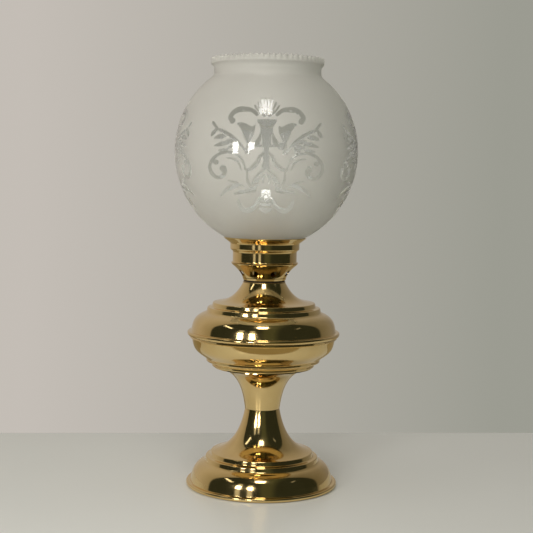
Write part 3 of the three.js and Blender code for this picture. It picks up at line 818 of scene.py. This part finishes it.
STROKES = [
    # palmette
    ([(0.6, 28.6), (1.1, 37), (1.5, 46.4)], 0.5, 1, 1),
    ([(1.4, 28.6), (3.2, 37), (4.8, 45.8)], 0.5, 1, 1.1),
    ([(2.2, 29), (5.6, 36), (8, 42.4)], 0.4, 1, 1.1),
    ([(3, 29.6), (7.4, 34.4), (11, 39.6)], 0.4, 1, 1),
    # upper scroll
    ([(9, 31.4), (14, 35.4), (19.4, 36.2), (25, 35.9), (30.4, 33.1), (33.6, 28.6), (31.9, 25.4)],
     1.6, 2.9, 1.3),
    ([(31.2, 25.8), (31.4, 25.6)], 2.7, 2.7, 2.7),
    # curl at the foot of the petal
    ([(15, 3.6), (17, 1.4), (16.8, -1.6), (15.4, -4.4)], 1.2, 1.6, 0.7),
    # drop and hourglass
    ([(0, 0.4), (0, -2)], 2.5, 2, 1.3),
    ([(1.5, -4), (1.2, -10), (1.6, -15)], 2.5, 1.4, 2.5),
    # feathered wing
    ([(18.6, -4), (21.7, 2), (28, 8.8), (37, 14.8), (44.6, 18.4), (49.2, 24.2)], 0.9, 1.7, 1.3),
    ([(28.6, 5.2), (32, 7.2), (36, 8.2)], 0.8, 2, 0.8),
    ([(37.6, 11), (42, 11.2), (47.6, 10)], 0.8, 2.5, 0.9),
    ([(34, 5.4), (40, 4.8), (47.4, 2.8)], 0.8, 2.3, 0.8),
    ([(26.8, 1.2), (31, 2), (35, 2.2)], 0.7, 1.7, 0.7),
    ([(34.2, -0.4), (39, -0.8), (44, -1.6)], 0.6, 1.6, 0.6),
    ([(25, -2.4), (28.4, -1.6), (31.4, -2)], 0.6, 1.3, 0.4),
    ([(46.4, 17.4), (48.6, 14.8), (50.8, 11.8)], 0.9, 1.9, 0.6),
    # outer scroll, its hook and its two beads
    ([(18.8, -18), (21.7, -10.3), (27.8, -4.6), (36, -3), (43.4, -4.8), (49, -9.4), (51.7, -15.4),
      (50.2, -21.6), (45.2, -25.9), (39.8, -24.8), (37.2, -20.4)], 1, 1.6, 1.9),
    ([(39.2, -17.7), (39.4, -17.6)], 3.2, 3.2, 3.2),
    ([(45.6, -12.2), (46, -12.4)], 2.3, 2.3, 2.3),
    ([(22.6, -19), (25, -12.8), (30, -9), (36, -8.4)], 0.7, 1.3, 0.7),
    # shield and its inner leaves
    ([(0.6, -17.6), (5, -21), (9.6, -25.4), (12.2, -31)], 0.9, 1.4, 0.9),
    ([(0.6, -22.4), (3.2, -26), (2.6, -31)], 0.7, 1.6, 0.7),
    ([(6.4, -26), (8.6, -29.4), (7, -32.4)], 0.9, 1.7, 0.7),
    # sides and lower leaves
    ([(17.2, -21), (16.6, -29), (11.2, -37.4)], 0.9, 1.4, 0.9),
    ([(18.6, -34.8), (27.4, -30.6), (36.4, -28)], 0.6, 1.3, 0.4),
    ([(21, -33), (29, -33.8), (36, -37), (41, -43)], 0.7, 2.2, 0.9),
    # swag
    ([(5.4, -44.6), (10.2, -52.6), (16.4, -56), (22.2, -53.8), (25.4, -46.6)], 1.4, 2.6, 1.3),
]
LINES = [
    ([(9.6, 21), (6.6, 17), (8, 11.6), (12.4, 5.4)], 0.45, 0.55, 0.4),
    ([(5.6, 16), (4.4, 10), (5, 5)], 0.3, 0.5, 1.1),
    ([(12.8, 17), (15, 12), (16, 7.4)], 0.3, 0.45, 0.3),
    ([(6, -6), (8, -12), (13.6, -17.4)], 0.25, 0.45, 0.25),
    ([(14, 34.8), (22, 35.4), (29, 32.6)], 0.3, 0.4, 0.3),
    ([(0, -40), (2.6, -43.6), (0.6, -47.6)], 0.5, 0.7, 0.4),
    ([(14, -37.6), (20, -39), (26, -39.6)], 0.3, 0.4, 0.3),
]
DEEPEST = 3  # the pattern's depth is held within this


def stroke_depth(place, stroke):
    """How far each place is inside a tapered stroke, in millimetres, negative outside."""
    points, start, middle, end = stroke
    curve = smooth_curve(points)
    t = np.linspace(0, 1, len(curve))
    half_width = np.where(t < 0.5, start + (middle - start) * 2 * t, middle + (end - middle) * (2 * t - 1))
    depth = np.full(len(place), -1e3)
    for (x, z), half in zip(curve, half_width):
        depth = np.maximum(depth, half - np.hypot(place[:, 0] - x, place[:, 1] - z))
    return depth


def patch_depth(place, outline):
    """How far each place is inside a filled outline, in millimetres, negative outside."""
    corners = np.array(outline, float)
    inside = np.zeros(len(place), bool)
    nearest = np.full(len(place), 1e3)
    for a, b in zip(corners, np.roll(corners, -1, axis=0)):
        crosses = (a[1] > place[:, 1]) != (b[1] > place[:, 1])
        slope = (b[0] - a[0]) / (b[1] - a[1]) if a[1] != b[1] else 0
        inside ^= crosses & (place[:, 0] < a[0] + slope * (place[:, 1] - a[1]))
        if a[0] == b[0] == 0:
            continue
        along = np.clip(((place - a) @ (b - a)) / ((b - a) @ (b - a)), 0, 1)
        nearest = np.minimum(nearest, np.hypot(*(place - a - along[:, None] * (b - a)).T))
    return np.where(inside, nearest, -nearest)


def pattern_depth(place):
    """How far each place is inside the pattern that was left clear, in millimetres, negative on the frost."""
    depth = np.full(len(place), -1e3)
    for outline in PATCHES:
        depth = np.maximum(depth, patch_depth(place, outline))
    for stroke in STROKES:
        depth = np.maximum(depth, stroke_depth(place, stroke))
    for stroke in LINES:
        depth = np.minimum(depth, -stroke_depth(place, stroke))
    return np.clip(depth, -DEEPEST, DEEPEST)


def globe_rows():
    """The globe's outside from its ground edge to its rim, as (radius, height, share of the crimp's wave)."""
    start, end = -math.acos(GLOBE["edge"] / GLOBE["radius"]), math.acos(54.2 / GLOBE["radius"])
    path = Outline(GLOBE["edge"], GLOBE["bottom"], 2)
    path.line(GLOBE["edge"], GLOBE["centre"] + GLOBE["depth"] * math.sin(start))
    path.arc(GLOBE["depth"], start, 0, 76)
    path.arc(GLOBE["radius"], 0, end, 52)
    path.bend((LIP["neck"], 403), (LIP["neck"], 406))
    path.line(LIP["neck"], LIP["bottom"])
    path.bend((52.5, 412.4), (54.5, 413.4))
    path.bend((55.0, 413.7), (55.0, 414.6))
    rows = [(r, z, 0) for r, z in path.points]
    rows += [(54.7, 416.2, 0.3), (54.4, 417.8, 0.8), (54.1, 419.2, 1), (53.7, 419.8, 1), (53.1, LIP_TOP, 1)]
    return rows


def globe_mesh(columns=480):
    outside = globe_rows()
    wall = GLOBE["wall"]
    inside = [(52.3, 419.6, 1), (51.9, 418.4, 0.9), (52.1, 416, 0.3), (52.2, 415.2, 0), (50.4, 412.6, 0)]
    inside += [(LIP["neck"] - wall, 409.4, 0), (LIP["neck"] - wall, 404.6, 0), (51.2, 399.9, 0)]
    top, bottom = math.acos(53.2 / (GLOBE["radius"] - wall)), -math.acos(38.4 / (GLOBE["radius"] - wall))
    inside_rows = 40
    for i in range(inside_rows + 1):
        angle = top + (bottom - top) * i / inside_rows
        depth = (GLOBE["radius"] if angle > 0 else GLOBE["depth"]) - wall
        height = GLOBE["centre"] + depth * math.sin(angle)
        inside.append(((GLOBE["radius"] - wall) * math.cos(angle), height, 0))
    inside += [(35.8, 247.6, 0), (35.5, 246.6, 0), (35.5, GLOBE["bottom"], 0)]
    rows = outside + inside
    angles = 2 * np.pi * np.arange(columns) / columns
    crimp = np.cos(LIP["crimps"] * angles)
    vertices = []
    for radius, height, share in rows:
        ring = radius + share * LIP["wave"] * crimp
        dip = height - share * LIP["dip"] * (0.5 - 0.5 * crimp)
        vertices.append(np.column_stack([ring * np.cos(angles), ring * np.sin(angles), dip]))
    faces = []
    for row in range(len(rows)):
        low, high = row * columns, (row + 1) % len(rows) * columns
        for column in range(columns):
            beside = (column + 1) % columns
            faces.append((low + column, low + beside, high + beside, high + column))
    place = np.concatenate(vertices)
    mesh = mesh_from("globe", place, faces)

    from_centre = place - (0, 0, GLOBE["centre"])
    azimuth = np.arctan2(from_centre[:, 0], -from_centre[:, 1])
    quarter = np.abs((azimuth + np.pi / 4) % (np.pi / 2) - np.pi / 4)
    across = np.hypot(from_centre[:, 0], from_centre[:, 1]) * np.sin(quarter)
    outer_ball = (np.arange(len(place)) < len(outside) * columns) & (np.abs(from_centre[:, 2]) < 64)
    depth = np.full(len(place), float(DEEPEST))
    depth[:len(outside) * columns] = -DEEPEST
    depth[outer_ball] = pattern_depth(np.column_stack([across, from_centre[:, 2]])[outer_ball])
    attribute = mesh.attributes.new("pattern_depth", "FLOAT", "POINT")
    attribute.data.foreach_set("value", depth.astype(np.float32))
    return mesh


def build_globe():
    new_piece("globe_glass", globe_mesh(), "globe", "globe", GLASS, 40)


build_stand()
build_collar()
build_hidden_hardware()
build_burner_base()
build_cone_and_gallery()
build_air_screen()
build_wick_tube()
build_shaft_bush()
build_spreader()
build_winder()
build_wick()
build_globe()


# Studio
def build_floor():
    """A pale table top whose rear edge is a little behind the lamp."""
    floor = bpy.data.objects.new("table_top", block(TABLE["low"], TABLE["high"]))
    floor.matrix_world = Matrix.Rotation(math.radians(TABLE["turn"]), 4, "Z")
    bpy.context.scene.collection.objects.link(floor)
    look = Look("pale_laminate")
    cloud = look.noise(look.position(), 3, 3, 0.5)
    look.link(look.mix(cloud, (0.74, 0.76, 0.74), (0.81, 0.83, 0.81)), look.shader.inputs["Base Color"])
    look.set(roughness=0.32)
    floor.data.materials.append(look.material)


class Surroundings(NodeTree):
    """A world whose light depends on the direction looked in."""

    def __init__(self):
        world = bpy.data.worlds.new("studio")
        world.use_nodes = True
        super().__init__(world.node_tree)
        self.tree.nodes.clear()
        bpy.context.scene.world = world
        self.direction = self.add("ShaderNodeTexCoord").outputs["Generated"]

    def along(self, x, y, z=0):
        """How far the direction points along a vector, from -1 to 1, moved to 0 to 1."""
        dot = self.add("ShaderNodeVectorMath", operation="DOT_PRODUCT")
        dot.inputs[1].default_value = (x, y, z)
        self.link(self.direction, dot.inputs[0])
        half = self.add("ShaderNodeMapRange")
        half.inputs["From Min"].default_value = -1
        self.link(dot.outputs["Value"], half.inputs["Value"])
        return half.outputs["Result"]

    def ramp(self, value, stops):
        """stops are (position from -1 to 1, colour)."""
        node = self.add("ShaderNodeValToRGB")
        elements = node.color_ramp.elements
        while len(elements) < len(stops):
            elements.new(0.5)
        for element, (position, colour) in zip(elements, stops):
            element.position = 0.5 + 0.5 * position
            element.color = (*colour, 1)
        self.link(value, node.inputs["Fac"])
        return node.outputs["Color"]


def build_world():
    """A pale wall behind, and in front a dark room that only reflections and refractions see."""
    room = Surroundings()
    black, white = (0, 0, 0), (1, 1, 1)
    turn = math.radians(ROOM["turn"])
    rearward = room.along(-math.sin(turn), math.cos(turn))
    across = room.along(1, 0)
    upward = room.along(0, 0, 1)
    edge, horizon = ROOM["edge"], ROOM["horizon"]
    is_wall = room.ramp(rearward, [(edge - 0.02, black), (edge + 0.02, white)])
    is_floor = room.ramp(upward, [(horizon - 0.06, white), (horizon, black)])
    shade = room.ramp(across, [(-0.1, white), (0.5, ROOM["shade_right"])])
    in_front = room.ramp(across, [
        (-0.08, ROOM["dark"]), (0.04, ROOM["lighter"]), (0.24, ROOM["lighter"]), (0.42, ROOM["dark"]),
    ])

    wall = room.ramp(rearward, [(edge + 0.02, ROOM["wall_near"]), (0.62, ROOM["wall_far"])])
    level = room.mix(is_wall, in_front, room.mix(1, wall, shade, "MULTIPLY"))
    mirrored = room.mix(is_floor, level, ROOM["floor"])

    through_glass = room.ramp(upward, [
        (-0.15, ROOM["glass_low"]), (0.05, ROOM["glass_level"]), (0.5, ROOM["glass_high"]),
    ])
    refracted = room.mix(is_wall, in_front, room.mix(1, through_glass, shade, "MULTIPLY"))
    # What the camera sees behind the lamp is painted shade: a backdrop lighter on the left and darker on the
    # right.
    seen = room.ramp(across, [(-0.20, ROOM["backdrop_lit_left"]), (0.20, ROOM["backdrop_shaded_right"])])

    path = room.add("ShaderNodeLightPath")
    colour = room.mix(path.outputs["Is Glossy Ray"], seen, mirrored)
    colour = room.mix(path.outputs["Is Transmission Ray"], colour, refracted)
    background = room.add("ShaderNodeBackground")
    output = room.add("ShaderNodeOutputWorld")
    room.link(colour, background.inputs["Color"])
    room.link(background.outputs["Background"], output.inputs["Surface"])


def add_light(name, azimuth, distance, height, size, radiance, turn=0):
    """A glowing oblong facing the lamp. Azimuth 0 is straight in front, and grows towards +X."""
    data = bpy.data.lights.new(name, "AREA")
    data.shape = "RECTANGLE"
    data.size, data.size_y = size
    data.energy = radiance * math.pi * size[0] * size[1]
    data.color = (1, 0.97, 0.92)
    light = bpy.data.objects.new(name, data)
    bpy.context.scene.collection.objects.link(light)
    angle = math.radians(azimuth)
    place = Vector((distance * math.sin(angle), -distance * math.cos(angle), height))
    facing = (place - Vector((0, 0, 0.25))).to_track_quat("Z", "Y").to_matrix().to_4x4()
    light.matrix_world = Matrix.Translation(place) @ facing @ Matrix.Rotation(turn, 4, "Z")
    light.visible_camera = False


def build_lights():
    for side, azimuth in (("left", -36.5), ("right", -17.5)):
        add_light(f"window_{side}", azimuth, distance=0.93, height=0.375, size=(0.12, 0.20), radiance=16)
        add_light(f"window_{side}_glow", azimuth, distance=0.95, height=0.42, size=(0.13, 0.60), radiance=0.6)
    add_light("ceiling_panel", -2, distance=0.54, height=1.03, size=(0.22, 0.30), radiance=9)
    add_light("slanted_strip", -70, distance=1.0, height=1.08, size=(0.55, 0.08), radiance=2.5, turn=-0.5)
    add_light("faint_strip", 67, distance=1.0, height=1.0, size=(0.25, 0.06), radiance=0.35, turn=0.5)


def build_camera():
    data = bpy.data.cameras.new("camera")
    data.sensor_width = CAMERA["sensor"]
    data.lens = CAMERA["lens"]
    camera = bpy.data.objects.new("camera", data)
    bpy.context.scene.collection.objects.link(camera)
    place = Matrix.Translation(CAMERA["place"])
    heading = Matrix.Rotation(math.radians(CAMERA["heading"]), 4, "Z")
    pitch = Matrix.Rotation(math.radians(90 + CAMERA["pitch"]), 4, "X")
    roll = Matrix.Rotation(math.radians(CAMERA["roll"]), 4, "Z")
    camera.matrix_world = place @ heading @ pitch @ roll
    bpy.context.scene.camera = camera


build_floor()
build_world()
build_lights()
build_camera()
bpy.context.scene.view_settings.view_transform = "Standard"
